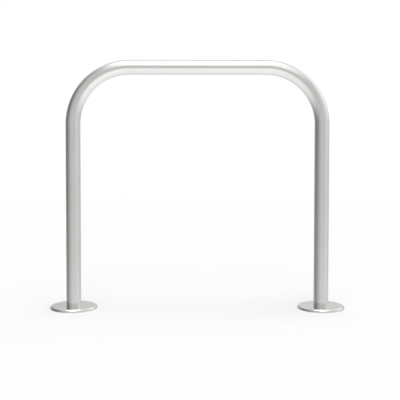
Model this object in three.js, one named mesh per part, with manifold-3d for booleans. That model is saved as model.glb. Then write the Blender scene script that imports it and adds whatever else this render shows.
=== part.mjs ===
// A surface-mounted hoop bike rack: one bent stainless tube stands on two welded base
// flanges, which are screwed to the ground and hidden under slip-on cover plates.
// Millimetres, +Z up. The origin is on the ground, midway between the two legs.
// X runs across the hoop, and Y runs through it.

import * as THREE from 'three';
import { mergeVertices } from 'three/addons/utils/BufferGeometryUtils.js';
import Module from 'manifold-3d';

const wasm = await Module();
wasm.setup();

// Hoop tube
const legSpacing = 850;
const overallHeight = 850;
const bendRadius = 193;
const tubeDiameter = 50;
const tubeWall = 3;
const tubeEndRecess = 2;

// Base flanges
const flangeDiameter = 140;
const flangeThickness = 5;
const flangeChamfer = 1;

// Fillet welds between the tube and the flanges
const weldLeg = 3;
const weldCrown = 0.4;

// Countersunk fixing screws, placed from the rim of the flange. Their heads are as high as
// the flange is thick, less a short straight neck.
const screwEdgeDistance = 20;
const screwHeadDiameter = 16;
const screwHeadRim = 0.5;
const screwNeck = 0.5;
const screwShankDiameter = 8;
const socketAcrossFlats = 5;
const socketDepth = 2.5;

// Slip-on cover plates. Their clearances to the flange and the weld make them 160 across
// and 10 high. A round shoulder takes up the height above a low upright skirt.
const coverWall = 1.2;
const coverSkirt = 2;
const coverBoreClearance = 0.5;
const coverRimClearance = 8.8;
const coverTopClearance = 0.5;

// Clearance between pieces that are welded or screwed together
const seatGap = 0.3;
// How far a cutting solid reaches past the face that it cuts
const cutOverrun = 1;

// How finely round shapes are divided
const roundSides = 40;
const screwSides = 24;
const bendSteps = 16;
const shoulderDivisions = 4;
const screwsPerFlange = 4;
const firstScrewTurn = Math.PI / 4;

// Sizes that follow from the ones above
const tubeRadius = tubeDiameter / 2;
const legX = legSpacing / 2;
const railZ = overallHeight - tubeRadius;
const flangeRadius = flangeDiameter / 2;
const flangeBoreRadius = tubeRadius + seatGap;
const weldBottom = flangeThickness + seatGap;
const weldTop = weldBottom + weldLeg;
const screwCircleRadius = flangeRadius - screwEdgeDistance;
const screwHeadRadius = screwHeadDiameter / 2;
const screwShankRadius = screwShankDiameter / 2;
const coverBoreRadius = tubeRadius + coverBoreClearance;
const coverRadius = flangeRadius + coverRimClearance + coverWall;
const coverHeight = weldTop + coverTopClearance + coverWall;
const coverShoulder = coverHeight - coverSkirt;

// Surface finishes
const brushedSteel = { color: 0xb9b9b6, metalness: 1, roughness: 0.32 };
const polishedSteel = { color: 0xd2d2d0, metalness: 1, roughness: 0.08 };
const milledSteel = { color: 0xa9a9a6, metalness: 1, roughness: 0.45 };
const weldMetal = { color: 0x8f8d89, metalness: 1, roughness: 0.5 };
const screwSteel = { color: 0xc0c0bd, metalness: 1, roughness: 0.25 };

// Turns an outline of [radius, height] points about the Z axis. The outline runs
// counterclockwise, and it ends on the axis or where it starts.
function turned(outline, sides) {
  const points = outline.map(([radius, height]) => new THREE.Vector2(radius, height));
  return new THREE.LatheGeometry(points, sides).rotateX(Math.PI / 2);
}

// A closed geometry as a solid that can be cut
function toSolid(geometry) {
  const bare = geometry.clone();
  bare.deleteAttribute('normal');
  bare.deleteAttribute('uv');
  const merged = mergeVertices(bare);
  const corners = merged.index.array;
  const triangles = [];
  for (let i = 0; i < corners.length; i += 3) {
    const [a, b, c] = corners.slice(i, i + 3);
    if (a !== b && b !== c && c !== a) triangles.push(a, b, c);
  }
  return new wasm.Manifold(new wasm.Mesh({
    numProp: 3,
    vertProperties: new Float32Array(merged.attributes.position.array),
    triVerts: new Uint32Array(triangles),
  }));
}

function toGeometry(solid) {
  const mesh = solid.getMesh();
  const geometry = new THREE.BufferGeometry();
  geometry.setAttribute('position', new THREE.BufferAttribute(mesh.vertProperties, 3));
  geometry.setIndex(new THREE.BufferAttribute(mesh.triVerts, 1));
  geometry.computeVertexNormals();
  return geometry;
}

function cut(geometry, ...cutters) {
  let solid = toSolid(geometry);
  for (const cutter of cutters) solid = solid.subtract(toSolid(cutter));
  return toGeometry(solid);
}

// A path that is known only at its stations, so a straight length needs no steps of its own
class StationPath extends THREE.Curve {
  constructor(stations) {
    super();
    this.stations = stations;
  }

  station(share) {
    return this.stations[Math.round(share * (this.stations.length - 1))];
  }

  getPointAt(share) {
    return this.station(share).point.clone();
  }

  getTangentAt(share) {
    return this.station(share).tangent.clone();
  }
}

// The hoop's axis: up the left leg, round two quarter bends and down the right leg
function hoopAxis() {
  const bendX = legX - bendRadius;
  const bendZ = railZ - bendRadius;
  const up = new THREE.Vector3(0, 0, 1);
  const down = new THREE.Vector3(0, 0, -1);
  const stations = [{ point: new THREE.Vector3(-legX, 0, tubeEndRecess), tangent: up }];
  for (const side of [-1, 1]) {
    for (let step = 0; step <= bendSteps; step++) {
      const turn = (Math.PI / 2) * (step / bendSteps) + (side > 0 ? Math.PI / 2 : 0);
      const reach = -Math.cos(turn);
      const rise = Math.sin(turn);
      stations.push({
        point: new THREE.Vector3(side * bendX + reach * bendRadius, 0, bendZ + rise * bendRadius),
        tangent: new THREE.Vector3(rise, 0, -reach),
      });
    }
  }
  stations.push({ point: new THREE.Vector3(legX, 0, tubeEndRecess), tangent: down });
  return new StationPath(stations);
}

function hoopTube() {
  const section = new THREE.Shape();
  section.absarc(0, 0, tubeRadius, 0, 2 * Math.PI);
  const bore = new THREE.Path();
  bore.absarc(0, 0, tubeRadius - tubeWall, 0, 2 * Math.PI);
  section.holes.push(bore);
  const axis = hoopAxis();
  return new THREE.ExtrudeGeometry(section, {
    extrudePath: axis,
    steps: axis.stations.length - 1,
    curveSegments: roundSides / 2,
  });
}

// The outline of a screw from its point on the ground to the top of its head, or with a
// clearance, the outline of the hole that it sits in
function screwOutline(clearance, overrun) {
  const rimZ = flangeThickness - screwHeadRim;
  return [
    [0, -overrun],
    [screwShankRadius + clearance, -overrun],
    [screwShankRadius + clearance, screwNeck],
    [screwHeadRadius + clearance, rimZ],
    [screwHeadRadius + clearance, flangeThickness + overrun],
    [0, flangeThickness + overrun],
  ];
}

function screwPlaces() {
  const places = [];
  for (let i = 0; i < screwsPerFlange; i++) {
    const turn = firstScrewTurn + (2 * Math.PI * i) / screwsPerFlange;
    places.push([screwCircleRadius * Math.cos(turn), screwCircleRadius * Math.sin(turn)]);
  }
  return places;
}

// A round plate with a centre hole for the tube and countersunk holes for the screws
function baseFlange() {
  const plate = turned([
    [flangeBoreRadius, 0],
    [flangeRadius, 0],
    [flangeRadius, flangeThickness - flangeChamfer],
    [flangeRadius - flangeChamfer, flangeThickness],
    [flangeBoreRadius, flangeThickness],
    [flangeBoreRadius, 0],
  ], roundSides);
  const holes = screwPlaces().map(([x, y]) => {
    return turned(screwOutline(seatGap, cutOverrun), screwSides).translate(x, y, 0);
  });
  return cut(plate, ...holes);
}

// A slightly crowned fillet weld, right round the foot of the tube
function weldBead() {
  const crown = weldLeg / 2 + weldCrown;
  return turned([
    [flangeBoreRadius, weldBottom],
    [flangeBoreRadius + weldLeg, weldBottom],
    [flangeBoreRadius + crown, weldBottom + crown],
    [flangeBoreRadius, weldTop],
    [flangeBoreRadius, weldBottom],
  ], roundSides);
}

// A countersunk screw with a hexagon socket. The length that is in the ground is left out.
function fixingScrew() {
  const socketRadius = socketAcrossFlats / 2 / Math.cos(Math.PI / 6);
  const socketHeight = socketDepth + cutOverrun;
  const socket = new THREE.CylinderGeometry(socketRadius, socketRadius, socketHeight, 6);
  socket.rotateX(Math.PI / 2);
  socket.translate(0, 0, flangeThickness - socketDepth + socketHeight / 2);
  return cut(turned(screwOutline(0, 0), screwSides), socket);
}

// A thin pressed plate with a flat top, a round shoulder and a hole for the leg
function coverPlate() {
  const shoulderX = coverRadius - coverShoulder;
  const outline = new THREE.Path();
  outline.moveTo(coverRadius - coverWall, 0);
  outline.lineTo(coverRadius, 0);
  outline.absarc(shoulderX, coverSkirt, coverShoulder, 0, Math.PI / 2);
  outline.lineTo(coverBoreRadius, coverHeight);
  outline.lineTo(coverBoreRadius, coverHeight - coverWall);
  outline.absarc(shoulderX, coverSkirt, coverShoulder - coverWall, Math.PI / 2, 0, true);
  outline.lineTo(coverRadius - coverWall, 0);
  const points = outline.getPoints(shoulderDivisions).map((point) => [point.x, point.y]);
  return turned(points, roundSides);
}

function addPiece(group, name, geometry, finish) {
  const mesh = new THREE.Mesh(geometry, new THREE.MeshStandardMaterial(finish));
  mesh.name = name;
  group.add(mesh);
  return mesh;
}

// Everything at one foot but the tube, on the axis of the leg
function foot(side) {
  const group = new THREE.Group();
  addPiece(group, `base_flange_${side}`, baseFlange(), milledSteel);
  addPiece(group, `weld_bead_${side}`, weldBead(), weldMetal);
  screwPlaces().forEach(([x, y], i) => {
    const screw = addPiece(group, `fixing_screw_${side}_${i + 1}`, fixingScrew(), screwSteel);
    screw.position.set(x, y, 0);
  });
  addPiece(group, `cover_plate_${side}`, coverPlate(), polishedSteel);
  return group;
}

const bikeRack = new THREE.Group();
addPiece(bikeRack, 'hoop_tube', hoopTube(), brushedSteel);

const leftFoot = foot('left');
leftFoot.position.x = -legX;
bikeRack.add(leftFoot);

const rightFoot = foot('right');
rightFoot.position.x = legX;
bikeRack.add(rightFoot);

export default bikeRack;
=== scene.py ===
"""A hoop bike rack: a satin stainless tube on two round feet with mirror-polished cover plates.

Metres, +Z up. X runs across the hoop and Y through it, away from the camera.
"""

import math

import bmesh
import bpy
from mathutils import Matrix, Vector


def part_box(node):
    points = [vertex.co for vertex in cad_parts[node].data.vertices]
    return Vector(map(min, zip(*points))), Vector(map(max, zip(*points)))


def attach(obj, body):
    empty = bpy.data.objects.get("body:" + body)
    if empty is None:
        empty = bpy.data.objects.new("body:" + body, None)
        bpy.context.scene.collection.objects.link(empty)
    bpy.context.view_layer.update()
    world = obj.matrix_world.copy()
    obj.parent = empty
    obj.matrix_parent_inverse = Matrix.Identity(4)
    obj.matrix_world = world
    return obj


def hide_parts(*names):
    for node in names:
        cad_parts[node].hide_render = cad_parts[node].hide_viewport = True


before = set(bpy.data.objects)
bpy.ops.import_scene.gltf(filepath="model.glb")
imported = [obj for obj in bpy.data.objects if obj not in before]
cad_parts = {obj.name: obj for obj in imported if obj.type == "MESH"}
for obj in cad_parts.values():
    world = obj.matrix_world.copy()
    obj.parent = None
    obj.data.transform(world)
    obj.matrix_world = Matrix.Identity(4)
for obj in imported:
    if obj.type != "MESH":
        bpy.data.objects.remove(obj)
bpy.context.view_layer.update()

MM = 0.001

# Sizes read from the frame
TUBE_LOW, TUBE_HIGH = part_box("hoop_tube")
COVER_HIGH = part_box("cover_plate_right")[1]
FLANGE_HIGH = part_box("base_flange_right")[1]
WELD_LOW, WELD_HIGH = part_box("weld_bead_right")
SCREW_LOW, SCREW_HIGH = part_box("fixing_screw_right_1")
TUBE_RADIUS = TUBE_HIGH.y
LEG_X = TUBE_HIGH.x - TUBE_RADIUS
RAIL_Z = TUBE_HIGH.z - TUBE_RADIUS
TUBE_END_Z = TUBE_LOW.z
COVER_RADIUS = COVER_HIGH.y
COVER_HEIGHT = COVER_HIGH.z
FLANGE_RADIUS = FLANGE_HIGH.y
FLANGE_THICKNESS = FLANGE_HIGH.z
WELD_BOTTOM = WELD_LOW.z
WELD_LEG = WELD_HIGH.z - WELD_LOW.z
SCREW_HEAD_RADIUS = (SCREW_HIGH.x - SCREW_LOW.x) / 2

# Sizes that a box doesn't give
BEND_RADIUS = 193 * MM
TUBE_WALL = 3 * MM
TUBE_EDGE_ROUND = 0.4 * MM
COVER_WALL = 1.2 * MM
COVER_SKIRT = 2 * MM
COVER_SHOULDER = COVER_HEIGHT - COVER_SKIRT
COVER_EDGE_ROUND = 0.2 * MM
SUPPORT_GAP = 0.3 * MM  # from a rounded shoulder to the ring that keeps the flat beside it flat
COVER_BORE_CLEARANCE = 0.5 * MM
SEAT_GAP = 0.3 * MM
FLANGE_EDGE = 1 * MM
WELD_CROWN = 0.4 * MM
RIPPLE_SPACING = 2.4 * MM
RIPPLE_DEPTH_SHARE = 0.07
RIPPLE_LEAN = 1.6  # radians by which a ripple trails at the edges of the bead
SCREW_HEAD_RIM = 0.5 * MM
SCREW_NECK = 0.5 * MM
SCREW_SHANK_RADIUS = 4 * MM
SCREW_EDGE = 0.2 * MM
SOCKET_FLATS = 5 * MM
SOCKET_DEPTH = 2.5 * MM
SOCKET_SIDES = 6

BEND_X = LEG_X - BEND_RADIUS
BEND_Z = RAIL_Z - BEND_RADIUS

# How finely round shapes are divided
TUBE_SIDES = 96
BEND_STEPS = 48
PLATE_SIDES = 128
SCREW_SIDES = 48
SHOULDER_STEPS = 12
EDGE_STEPS = 2
WELD_FACE_STEPS = 8
STEPS_PER_RIPPLE = 8

# Edges are shaded smooth where their faces turn by less than these angles
SMOOTH_LIMIT = math.radians(20)
WELD_SMOOTH_LIMIT = math.radians(50)
# Edges are rounded where their faces turn by more than this angle
ROUNDING_LIMIT = math.radians(60)
# Points closer than this are made one
MERGE_DISTANCE = 0.001 * MM

SCREWS_PER_FLANGE = 4

SIDES = {"left": -1, "right": 1}

# Camera, as solved from the outlines of the hoop and its feet in the photograph. The picture is the
# lower part of what the lens drew, so the lens is shifted. Angles are in radians.
CAMERA_PLACE = Vector((-3.2 * MM, -2739.4 * MM, 608.3 * MM))
CAMERA_PITCH = 0.0394
CAMERA_YAW = 0.0042
CAMERA_ROLL = -0.0009
CAMERA_SHIFT = -0.0933
SENSOR_WIDTH_MM = 36
LENS_MM = 72.17


def linear(hex_colour):
    """An sRGB hex colour as linear red, green, blue and alpha."""
    channels = [int(hex_colour[i:i + 2], 16) / 255 for i in (1, 3, 5)]
    return [c / 12.92 if c <= 0.04045 else ((c + 0.055) / 1.055) ** 2.4 for c in channels] + [1]


def add_node(tree, kind, inputs=None, **settings):
    """Adds a shader node. inputs maps its sockets to values, or to the outputs that feed them."""
    node = tree.nodes.new("ShaderNode" + kind)
    for name, value in settings.items():
        setattr(node, name, value)
    for socket, value in (inputs or {}).items():
        if isinstance(value, bpy.types.NodeSocket):
            tree.links.new(value, node.inputs[socket])
        else:
            node.inputs[socket].default_value = value
    return node


def new_material(name):
    """An empty material, and its tree and surface shader."""
    material = bpy.data.materials.new(name)
    material.use_nodes = True
    tree = material.node_tree
    return material, tree, tree.nodes["Principled BSDF"]


def spread(tree, value, low, high):
    """Maps a noise value from its usual range to low and high."""
    usual_range = {"From Min": 0.3, "From Max": 0.7}
    new_range = {"To Min": low, "To Max": high}
    return add_node(tree, "MapRange", {"Value": value, **usual_range, **new_range}).outputs[0]


# Materials

def satin_tube_steel():
    """Stainless tube, ground round its circumference on a fine belt and then buffed. The eye sees
    soft reflections in long bands, faint rings round the tube, and slight clouding."""
    ring_spacing = 0.8 * MM  # drawn coarser than the real 0.05 mm, so that the rings show
    ring_run = 60 * MM
    cloud_size = 90 * MM
    material, tree, shader = new_material("satin_ground_stainless_tube")
    lay = add_node(tree, "Attribute", attribute_name="straight_tube").outputs["Vector"]
    ring_scale = (1 / ring_spacing, 1 / ring_run, 1 / ring_run)
    ring_place = add_node(tree, "Mapping", {"Vector": lay, "Scale": ring_scale}).outputs[0]
    rings = add_node(tree, "TexNoise", {"Vector": ring_place, "Scale": 1.0, "Detail": 3.0}).outputs[0]
    cloud_noise = {"Vector": lay, "Scale": 1 / cloud_size, "Detail": 2.0}
    clouds = add_node(tree, "TexNoise", cloud_noise).outputs[0]
    both = add_node(tree, "Math", {0: rings, 1: clouds}, operation="ADD").outputs[0]
    half = add_node(tree, "Math", {0: both, 1: 0.5}, operation="MULTIPLY").outputs[0]
    tint = {6: linear("#e8e8e5"), 7: linear("#ececea")}
    colour = add_node(tree, "Mix", {0: spread(tree, clouds, 0.0, 1.0), **tint}, data_type="RGBA")
    bump = add_node(tree, "Bump", {"Strength": 0.25, "Distance": 0.03 * MM, "Height": rings})
    tree.links.new(colour.outputs[2], shader.inputs["Base Color"])
    tree.links.new(spread(tree, half, 0.13, 0.20), shader.inputs["Roughness"])
    tree.links.new(bump.outputs[0], shader.inputs["Normal"])
    shader.inputs["Metallic"].default_value = 1.0
    return material


def mirror_cover_steel():
    """Pressed stainless sheet, mirror polished with a soft wheel. The eye sees sharp reflections,
    hardly dulled by the hairlines that the wheel leaves."""
    hairline_spacing = 1.2 * MM  # drawn coarser than the real 0.02 mm, so that it shows
    hairline_run = 40 * MM
    hairline_turn = 0.5  # radians
    material, tree, shader = new_material("mirror_polished_stainless_sheet")
    place = add_node(tree, "TexCoord").outputs["Object"]
    scale = (1 / hairline_run, 1 / hairline_spacing, 1 / hairline_run)
    turn = (0, 0, hairline_turn)
    turned = add_node(tree, "Mapping", {"Vector": place, "Rotation": turn, "Scale": scale})
    hairlines = add_node(tree, "TexNoise", {"Vector": turned.outputs[0], "Scale": 1.0, "Detail": 2.0})
    tree.links.new(spread(tree, hairlines.outputs[0], 0.025, 0.05), shader.inputs["Roughness"])
    shader.inputs["Base Color"].default_value = linear("#e8e8e6")
    shader.inputs["Metallic"].default_value = 1.0
    return material


def milled_flange_steel():
    """Cold-rolled stainless plate with its dull mill finish, cut to a disc by laser. The eye sees a
    soft grey sheen with a faint grain in the rolling direction."""
    grain_spacing = 0.8 * MM
    grain_run = 35 * MM
    material, tree, shader = new_material("cold_rolled_stainless_plate")
    place = add_node(tree, "TexCoord").outputs["Object"]
    scale = (1 / grain_run, 1 / grain_spacing, 1 / grain_spacing)
    along = add_node(tree, "Mapping", {"Vector": place, "Scale": scale}).outputs[0]
    grain = add_node(tree, "TexNoise", {"Vector": along, "Scale": 1.0, "Detail": 4.0}).outputs[0]
    tint = {6: linear("#c3c2be"), 7: linear("#d2d1cd")}
    colour = add_node(tree, "Mix", {0: spread(tree, grain, 0.0, 1.0), **tint}, data_type="RGBA")
    bump = add_node(tree, "Bump", {"Strength": 0.2, "Distance": 0.03 * MM, "Height": grain})
    tree.links.new(colour.outputs[2], shader.inputs["Base Color"])
    tree.links.new(spread(tree, grain, 0.32, 0.42), shader.inputs["Roughness"])
    tree.links.new(bump.outputs[0], shader.inputs["Normal"])
    shader.inputs["Metallic"].default_value = 1.0
    return material


def pickled_weld_metal():
    """Stainless weld bead, pickled after welding. The eye sees a matt grey bead, with a little of the
    straw colour that the acid left in its ripples."""
    stain_size = 9 * MM
    pit_size = 0.5 * MM
    material, tree, shader = new_material("pickled_stainless_weld")
    place = add_node(tree, "TexCoord").outputs["Object"]
    stains = add_node(tree, "TexNoise", {"Vector": place, "Scale": 1 / stain_size}).outputs[0]
    pits = add_node(tree, "TexNoise", {"Vector": place, "Scale": 1 / pit_size, "Detail": 3.0}).outputs[0]
    tint = {6: linear("#a9a7a3"), 7: linear("#bfb49c")}
    colour = add_node(tree, "Mix", {0: spread(tree, stains, 0.0, 0.8), **tint}, data_type="RGBA")
    bump = add_node(tree, "Bump", {"Strength": 0.3, "Distance": 0.05 * MM, "Height": pits})
    tree.links.new(colour.outputs[2], shader.inputs["Base Color"])
    tree.links.new(spread(tree, pits, 0.38, 0.5), shader.inputs["Roughness"])
    tree.links.new(bump.outputs[0], shader.inputs["Normal"])
    shader.inputs["Metallic"].default_value = 1.0
    return material


def forged_screw_steel():
    """Cold-forged stainless screw, tumbled bright. The eye sees a clean light metal with small
    soft marks."""
    mark_size = 1.5 * MM
    material, tree, shader = new_material("cold_forged_stainless_screw")
    place = add_node(tree, "TexCoord").outputs["Object"]
    mark_noise = {"Vector": place, "Scale": 1 / mark_size, "Detail": 3.0}
    marks = add_node(tree, "TexNoise", mark_noise).outputs[0]
    tint = {6: linear("#d3d3d0"), 7: linear("#dededb")}
    colour = add_node(tree, "Mix", {0: spread(tree, marks, 0.0, 1.0), **tint}, data_type="RGBA")
    tree.links.new(colour.outputs[2], shader.inputs["Base Color"])
    tree.links.new(spread(tree, marks, 0.2, 0.3), shader.inputs["Roughness"])
    shader.inputs["Metallic"].default_value = 1.0
    return material


# Shapes

def sort_by_place(bm):
    """Puts points in the order of their places, and edges and faces in that of their points. The
    operators leave them in another order in each run."""
    def grid_place(point):
        return [round(distance / MERGE_DISTANCE) for distance in point.co]

    def point_numbers(item):
        return sorted(point.index for point in item.verts)

    for items, place in ((bm.verts, grid_place), (bm.edges, point_numbers), (bm.faces, point_numbers)):
        for number, item in enumerate(sorted(items, key=place)):
            item.index = number
        items.sort()


def finished_piece(name, bm, material, body, sharp_angle=SMOOTH_LIMIT):
    """Makes a closed bmesh a piece that rides on a body and takes its finish from a slot."""
    bmesh.ops.remove_doubles(bm, verts=bm.verts, dist=MERGE_DISTANCE)
    bmesh.ops.recalc_face_normals(bm, faces=bm.faces)
    sort_by_place(bm)
    mesh = bpy.data.meshes.new(name)
    bm.to_mesh(mesh)
    bm.free()
    mesh.shade_smooth()
    mesh.set_sharp_from_angle(angle=sharp_angle)
    mesh.materials.append(material)
    piece = bpy.data.objects.new(name, mesh)
    bpy.context.scene.collection.objects.link(piece)
    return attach(piece, body)


def once_each(items):
    """The items in the order in which they come, and each of them once. A set would give another
    order in each run."""
    return list(dict.fromkeys(items))


def circle_edges(bm, radius, centre, sides):
    """A circle of edges in a level plane."""
    place = Matrix.Translation(centre)
    made = bmesh.ops.create_circle(bm, cap_ends=False, segments=sides, radius=radius, matrix=place)
    return once_each(edge for vertex in made["verts"] for edge in vertex.link_edges)


def extrude_edges(bm, edges, step):
    """Extrudes a loop of edges by a step, and returns the new loop."""
    made = bmesh.ops.extrude_edge_only(bm, edges=edges)["geom"]
    vertices = [item for item in made if isinstance(item, bmesh.types.BMVert)]
    bmesh.ops.translate(bm, verts=vertices, vec=step)
    ring = set(vertices)
    return [item for item in made if isinstance(item, bmesh.types.BMEdge) and set(item.verts) <= ring]


def extrude_ring(bm, edges, centre, rise, old_radius=1.0, new_radius=1.0):
    """Extrudes a level ring of edges upwards, and gives the new ring its radius."""
    ring = extrude_edges(bm, edges, (0, 0, rise))
    vertices = once_each(vertex for edge in ring for vertex in edge.verts)
    share = new_radius / old_radius
    bmesh.ops.scale(bm, verts=vertices, vec=(share, share, 1), space=Matrix.Translation(-centre))
    return ring


def round_sharp_edges(bm, radius):
    """Rounds each edge where two faces of a closed shell meet nearly square."""
    bmesh.ops.recalc_face_normals(bm, faces=bm.faces)
    sharp = [edge for edge in bm.edges if edge.calc_face_angle(0.0) > ROUNDING_LIMIT]
    bmesh.ops.bevel(bm, geom=sharp, offset=radius, offset_type="OFFSET", affect="EDGES",
                    segments=EDGE_STEPS, profile=0.5, material=-1)


def bend_edges(bm, edges, centre):
    """Sweeps a loop of edges through a quarter turn towards +X, and returns the last loop."""
    made = bmesh.ops.spin(bm, geom=edges, cent=centre, axis=(0, 1, 0), angle=math.radians(90),
                          steps=BEND_STEPS, use_merge=False, use_duplicate=False)["geom_last"]
    return [item for item in made if isinstance(item, bmesh.types.BMEdge)]


def straight_place(point):
    """The place of a point of the hoop on the straight tube, before it was bent: its distance along
    the tube, and its two distances across it."""
    leg_length = BEND_Z - TUBE_END_Z
    quarter = BEND_RADIUS * math.pi / 2
    half_length = leg_length + quarter + BEND_X
    beyond = abs(point.x) - BEND_X
    above = point.z - BEND_Z
    if above <= 0:
        along, out = point.z - TUBE_END_Z, beyond - BEND_RADIUS
    elif beyond <= 0:
        along, out = leg_length + quarter - beyond, above - BEND_RADIUS
    else:
        along = leg_length + BEND_RADIUS * math.atan2(above, beyond)
        out = math.hypot(beyond, above) - BEND_RADIUS
    return (along if point.x < 0 else 2 * half_length - along), out, point.y


def hoop_tube(material):
    """The bent tube: both walls are swept up a leg, round, along and down again, and joined at the
    ends. The wall of the bore is made first, and turned over to face the axis."""
    bm = bmesh.new()
    first_loops, last_loops = [], []
    for radius in (TUBE_RADIUS - TUBE_WALL, TUBE_RADIUS):
        bmesh.ops.reverse_faces(bm, faces=bm.faces)
        edges = circle_edges(bm, radius, (-LEG_X, 0, TUBE_END_Z), TUBE_SIDES)
        first_loops += edges
        edges = extrude_edges(bm, edges, (0, 0, BEND_Z - TUBE_END_Z))
        edges = bend_edges(bm, edges, (-BEND_X, 0, BEND_Z))
        edges = extrude_edges(bm, edges, (2 * BEND_X, 0, 0))
        edges = bend_edges(bm, edges, (BEND_X, 0, BEND_Z))
        last_loops += extrude_edges(bm, edges, (0, 0, TUBE_END_Z - BEND_Z))
    bmesh.ops.bridge_loops(bm, edges=first_loops)
    bmesh.ops.bridge_loops(bm, edges=last_loops)
    round_sharp_edges(bm, TUBE_EDGE_ROUND)
    piece = finished_piece("satin_hoop", bm, material, "rack")
    straight = piece.data.attributes.new("straight_tube", "FLOAT_VECTOR", "POINT")
    for vertex in piece.data.vertices:
        straight.data[vertex.index].vector = straight_place(vertex.co)
    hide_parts("hoop_tube")


def leg_centre(side):
    """Where the axis of a leg meets the ground."""
    return Vector((SIDES[side] * LEG_X, 0, 0))


def cover_plate(side, material):
    """A pressed cover plate: a low skirt, a rounded shoulder and a flat top with the leg's hole."""
    bm = bmesh.new()
    centre = leg_centre(side)
    foot = circle_edges(bm, COVER_RADIUS, centre, PLATE_SIDES)
    skirt_top = extrude_ring(bm, foot, centre, COVER_SKIRT - SUPPORT_GAP)
    corner = extrude_ring(bm, skirt_top, centre, COVER_SHOULDER + SUPPORT_GAP)
    flat_radius = COVER_RADIUS - COVER_SHOULDER - SUPPORT_GAP
    flat_edge = extrude_ring(bm, corner, centre, 0, COVER_RADIUS, flat_radius)
    extrude_ring(bm, flat_edge, centre, 0, flat_radius, TUBE_RADIUS + COVER_BORE_CLEARANCE)
    bmesh.ops.bevel(bm, geom=corner, offset=COVER_SHOULDER, offset_type="OFFSET", affect="EDGES",
                    segments=SHOULDER_STEPS, profile=0.5, material=-1)
    bmesh.ops.recalc_face_normals(bm, faces=bm.faces)
    bmesh.ops.solidify(bm, geom=bm.faces, thickness=COVER_WALL)
    round_sharp_edges(bm, COVER_EDGE_ROUND)
    piece = finished_piece(f"mirror_cover_{side}", bm, material, f"{side}_cover")
    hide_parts(f"cover_plate_{side}")


def screw_centre(side, number):
    """The point of the ground under a screw."""
    low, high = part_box(f"fixing_screw_{side}_{number}")
    return Vector(((low.x + high.x) / 2, (low.y + high.y) / 2, 0))


def countersunk_wall(bm, centre, clearance):
    """The wall of a screw's shank and cone, or of its hole. Returns its lowest and highest rings."""
    shank, head = SCREW_SHANK_RADIUS + clearance, SCREW_HEAD_RADIUS + clearance
    lowest = circle_edges(bm, shank, centre, SCREW_SIDES)
    ring = extrude_ring(bm, lowest, centre, SCREW_NECK)
    cone_height = FLANGE_THICKNESS - SCREW_NECK - SCREW_HEAD_RIM
    return lowest, extrude_ring(bm, ring, centre, cone_height, shank, head)


def base_flange(side, material):
    """A round plate with a chamfered rim, a hole for the tube and four countersunk holes."""
    bm = bmesh.new()
    centre = leg_centre(side)
    rim = circle_edges(bm, FLANGE_RADIUS, centre, PLATE_SIDES)
    bore = circle_edges(bm, TUBE_RADIUS + SEAT_GAP, centre, TUBE_SIDES)
    bottom = rim + bore
    rim = extrude_ring(bm, rim, centre, FLANGE_THICKNESS - FLANGE_EDGE)
    rim = extrude_ring(bm, rim, centre, FLANGE_EDGE, FLANGE_RADIUS, FLANGE_RADIUS - FLANGE_EDGE)
    top = rim + extrude_ring(bm, bore, centre, FLANGE_THICKNESS)
    for number in range(1, SCREWS_PER_FLANGE + 1):
        hole = screw_centre(side, number)
        lowest, highest = countersunk_wall(bm, hole, SEAT_GAP)
        bottom += lowest
        top += extrude_ring(bm, highest, hole, SCREW_HEAD_RIM)
    for edges in (bottom, top):
        bmesh.ops.triangle_fill(bm, edges=edges, use_beauty=True)
    piece = finished_piece(f"milled_flange_{side}", bm, material, "rack")
    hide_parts(f"base_flange_{side}")


def fixing_screw(side, number, material):
    """A countersunk screw with a hexagon socket. The length that is in the ground is left out."""
    bm = bmesh.new()
    centre = screw_centre(side, number)
    point, rim = countersunk_wall(bm, centre, 0.0)
    rim = extrude_ring(bm, rim, centre, SCREW_HEAD_RIM - SCREW_EDGE)
    rim = extrude_ring(bm, rim, centre, SCREW_EDGE, SCREW_HEAD_RADIUS, SCREW_HEAD_RADIUS - SCREW_EDGE)
    socket_radius = SOCKET_FLATS / 2 / math.cos(math.pi / SOCKET_SIDES)
    mouth_radius = socket_radius + SCREW_EDGE
    mouth_centre = centre + Vector((0, 0, FLANGE_THICKNESS))
    mouth = circle_edges(bm, mouth_radius, mouth_centre, SOCKET_SIDES)
    bmesh.ops.triangle_fill(bm, edges=rim + mouth, use_beauty=True)
    socket = extrude_ring(bm, mouth, centre, -SCREW_EDGE, mouth_radius, socket_radius)
    floor = extrude_ring(bm, socket, centre, SCREW_EDGE - SOCKET_DEPTH)
    for edges in (point, floor):
        bmesh.ops.edgeloop_fill(bm, edges=edges)
    piece = finished_piece(f"socket_screw_{side}_{number}", bm, material, "rack")
    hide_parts(f"fixing_screw_{side}_{number}")


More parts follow.
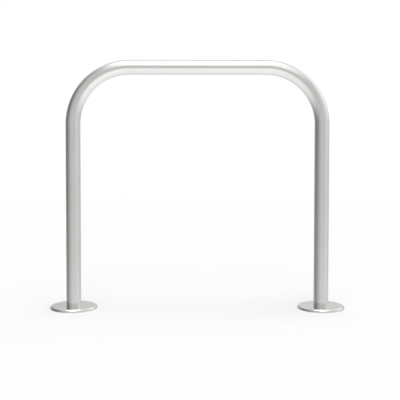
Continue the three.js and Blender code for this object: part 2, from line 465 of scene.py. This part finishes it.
def weld_bead(side, material):
    """A crowned fillet weld round the foot of the tube, with the ripples of the welder's steps."""
    bm = bmesh.new()
    centre = leg_centre(side)
    root_radius = TUBE_RADIUS + SEAT_GAP
    root = centre + Vector((root_radius, 0, WELD_BOTTOM))
    half_chord, crown_rise = WELD_LEG / math.sqrt(2), WELD_CROWN * math.sqrt(2)
    face_radius = (half_chord ** 2 + crown_rise ** 2) / (2 * crown_rise)
    inset = WELD_LEG / 2 - (face_radius - crown_rise) / math.sqrt(2)
    toe = bm.verts.new(root + Vector((WELD_LEG, 0, 0)))
    made = bmesh.ops.spin(bm, geom=[toe], cent=root + Vector((inset, 0, inset)), axis=(0, -1, 0),
                          angle=2 * math.asin(half_chord / face_radius), steps=WELD_FACE_STEPS)
    bmesh.ops.contextual_create(bm, geom=[made["geom_last"][0], bm.verts.new(root)])
    bm.verts.ensure_lookup_table()
    bmesh.ops.contextual_create(bm, geom=[bm.verts[-1], toe])
    ripples = round(2 * math.pi * root_radius / RIPPLE_SPACING)
    bmesh.ops.spin(bm, geom=list(bm.edges), cent=centre, axis=(0, 0, 1), angle=2 * math.pi,
                   steps=ripples * STEPS_PER_RIPPLE, use_merge=True)
    for vertex in bm.verts:
        offset = vertex.co - centre
        out = math.hypot(offset.x, offset.y) - root_radius
        lean = RIPPLE_LEAN * (math.atan2(offset.z - WELD_BOTTOM, out) * 4 / math.pi - 1) ** 2
        crest = abs(math.sin(math.atan2(offset.y, offset.x) * ripples / 2 + lean))
        spine = centre + Vector((offset.x, offset.y, 0)).normalized() * root_radius
        spine.z = WELD_BOTTOM
        vertex.co = spine + (vertex.co - spine) * (1 - RIPPLE_DEPTH_SHARE * (1 - crest))
    piece = finished_piece(f"rippled_weld_{side}", bm, material, "rack", WELD_SMOOTH_LIMIT)
    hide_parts(f"weld_bead_{side}")


def studio_floor():
    """A pale floor that takes the rack's shadow, and that fades to the white backdrop far away."""
    radius = 30.0
    fade_start, fade_end = 2.5, 6.0
    bm = bmesh.new()
    bmesh.ops.create_circle(bm, cap_ends=True, segments=PLATE_SIDES, radius=radius)
    mesh = bpy.data.meshes.new("studio_floor")
    bm.to_mesh(mesh)
    bm.free()
    material = bpy.data.materials.new("pale_studio_floor")
    material.use_nodes = True
    tree = material.node_tree
    tree.nodes.clear()
    place = add_node(tree, "TexCoord").outputs["Object"]
    distance = add_node(tree, "VectorMath", {0: place}, operation="LENGTH").outputs["Value"]
    fade_range = {"Value": distance, "From Min": fade_start, "From Max": fade_end}
    fade = add_node(tree, "MapRange", fade_range, interpolation_type="SMOOTHSTEP").outputs[0]
    seen = add_node(tree, "LightPath").outputs["Is Camera Ray"]
    lit = add_node(tree, "BsdfDiffuse", {"Color": linear("#efefef")}).outputs[0]
    white = add_node(tree, "Emission", {"Strength": 1.0}).outputs[0]
    far_seen = add_node(tree, "Math", {0: seen, 1: fade}, operation="MULTIPLY").outputs[0]
    surface = add_node(tree, "MixShader", {0: far_seen, 1: lit, 2: white}).outputs[0]
    add_node(tree, "OutputMaterial", {"Surface": surface})
    mesh.materials.append(material)
    floor_object = bpy.data.objects.new("studio_floor", mesh)
    # The metal reflects the world's ground instead
    floor_object.visible_glossy = False
    bpy.context.scene.collection.objects.link(floor_object)


def studio_world():
    """White where the camera looks. For light and reflections: grey walls over a pale ground, dark
    cards, most of all at the left, and lamps overhead, in front above and at the right."""
    wall = 0.61
    world = bpy.data.worlds.new("pale_studio")
    bpy.context.scene.world = world
    world.use_nodes = True
    tree = world.node_tree
    tree.nodes.clear()
    direction = add_node(tree, "TexCoord").outputs["Generated"]
    x, y, z = add_node(tree, "SeparateXYZ", {0: direction}).outputs

    def maths(operation, a, b=0.0):
        return add_node(tree, "Math", {0: a, 1: b}, operation=operation).outputs[0]

    def step(value, start, end, low=0.0, high=1.0):
        """Goes smoothly from low, where the value is at start, to high at end."""
        sockets = {"Value": value, "From Min": start, "From Max": end, "To Min": low, "To Max": high}
        return add_node(tree, "MapRange", sockets, interpolation_type="SMOOTHSTEP").outputs[0]

    def patch(azimuth, elevation, inner, outer, inside, outside=0.0):
        """A soft round patch, in degrees. Azimuth 0 is the camera's side, and 90 is +X. It is
        inside up to the inner radius, and outside from the outer one."""
        a, e = math.radians(azimuth), math.radians(elevation)
        towards = (math.sin(a) * math.cos(e), -math.cos(a) * math.cos(e), math.sin(e))
        unit = add_node(tree, "VectorMath", {0: direction}, operation="NORMALIZE").outputs[0]
        cosine = add_node(tree, "VectorMath", {0: unit, 1: towards}, operation="DOT_PRODUCT")
        angle = maths("ARCCOSINE", cosine.outputs["Value"])
        return step(angle, math.radians(inner), math.radians(outer), inside, outside)

    def front_panel():
        """A level panel of light above and in front. Each of its soft edges runs from no light to
        full light, and is given by distances to +X or to the back, per metre of height."""
        left_edge, right_edge = (-0.7, -0.24), (1.2, 0.41)
        front_edge, back_edge = (-3.9, -1.5), (0.33, -0.05)
        brightness = 0.5
        least_height = 0.02
        height = maths("MAXIMUM", z, least_height)
        side = maths("DIVIDE", x, height)
        back = maths("DIVIDE", y, height)
        across = maths("MULTIPLY", step(side, *left_edge), step(side, *right_edge))
        along = maths("MULTIPLY", step(back, *front_edge), step(back, *back_edge))
        return maths("MULTIPLY", maths("MULTIPLY", across, along), brightness)

    # What is added to the walls
    surroundings = [
        step(z, -0.04, -0.54, 0.0, 0.38),  # the pale ground
        patch(29, -46, 7, 43, 0.13),  # the ground in front, paler still
        patch(201, -28, 12, 58, -0.19),  # the ground behind, darker
        patch(72, 12, 10, 39, 0.16),  # the wall at the right, paler
        patch(181, 48, 13, 55, 0.29),  # the wall behind, paler high up
    ]
    # What the walls are multiplied by
    cards = [
        patch(-101, 11, 13, 61, 0.35, 1.0),  # a large dark card at the left
        patch(-52, -6, 2, 45, 0.76, 1.0),  # a faint one in front at the left
        patch(-157, 18, 4, 20, 0.76, 1.0),  # a faint one behind at the left
        patch(98, 47, 4, 27, 0.86, 1.0),  # a faint one high up at the right
    ]
    # What is added last
    lamps = [
        front_panel(),
        patch(0, 48, 4, 9, 4.0),  # a small lamp in front
        patch(0, 90, 10, 21, 3.0),  # the lamp overhead
        patch(0, 90, 11, 28, 0.77),  # the glow round it
        patch(182, 64, 6, 22, -0.45),  # the edge of its shade, dark towards the back
        patch(114, 30, 7, 40, 0.49),  # a large soft lamp at the right
    ]
    light = wall
    for part in surroundings:
        light = maths("ADD", part, light)
    for card in cards:
        light = maths("MULTIPLY", light, card)
    for lamp in lamps:
        light = maths("ADD", light, lamp)
    seen = add_node(tree, "LightPath").outputs["Is Camera Ray"]
    strength = add_node(tree, "Mix", {0: seen, 2: light, 3: 1.0}, data_type="FLOAT").outputs[0]
    white_light = {"Color": linear("#ffffff"), "Strength": strength}
    background = add_node(tree, "Background", white_light).outputs[0]
    add_node(tree, "OutputWorld", {"Surface": background})


def studio_camera():
    """The camera of the photograph."""
    data = bpy.data.cameras.new("studio_camera")
    data.sensor_width = SENSOR_WIDTH_MM
    data.lens = LENS_MM
    data.shift_y = CAMERA_SHIFT
    camera = bpy.data.objects.new("studio_camera", data)
    camera.location = CAMERA_PLACE
    camera.rotation_euler = (math.radians(90) - CAMERA_PITCH, CAMERA_ROLL, -CAMERA_YAW)
    bpy.context.scene.collection.objects.link(camera)
    bpy.context.scene.camera = camera


studio_camera()
studio_world()
studio_floor()

hoop_tube(satin_tube_steel())
cover_steel = mirror_cover_steel()
flange_steel = milled_flange_steel()
weld_metal = pickled_weld_metal()
screw_steel = forged_screw_steel()
for side in SIDES:
    cover_plate(side, cover_steel)
    base_flange(side, flange_steel)
    weld_bead(side, weld_metal)
    for number in range(1, SCREWS_PER_FLANGE + 1):
        fixing_screw(side, number, screw_steel)

scene = bpy.context.scene
scene.view_settings.view_transform = "Standard"
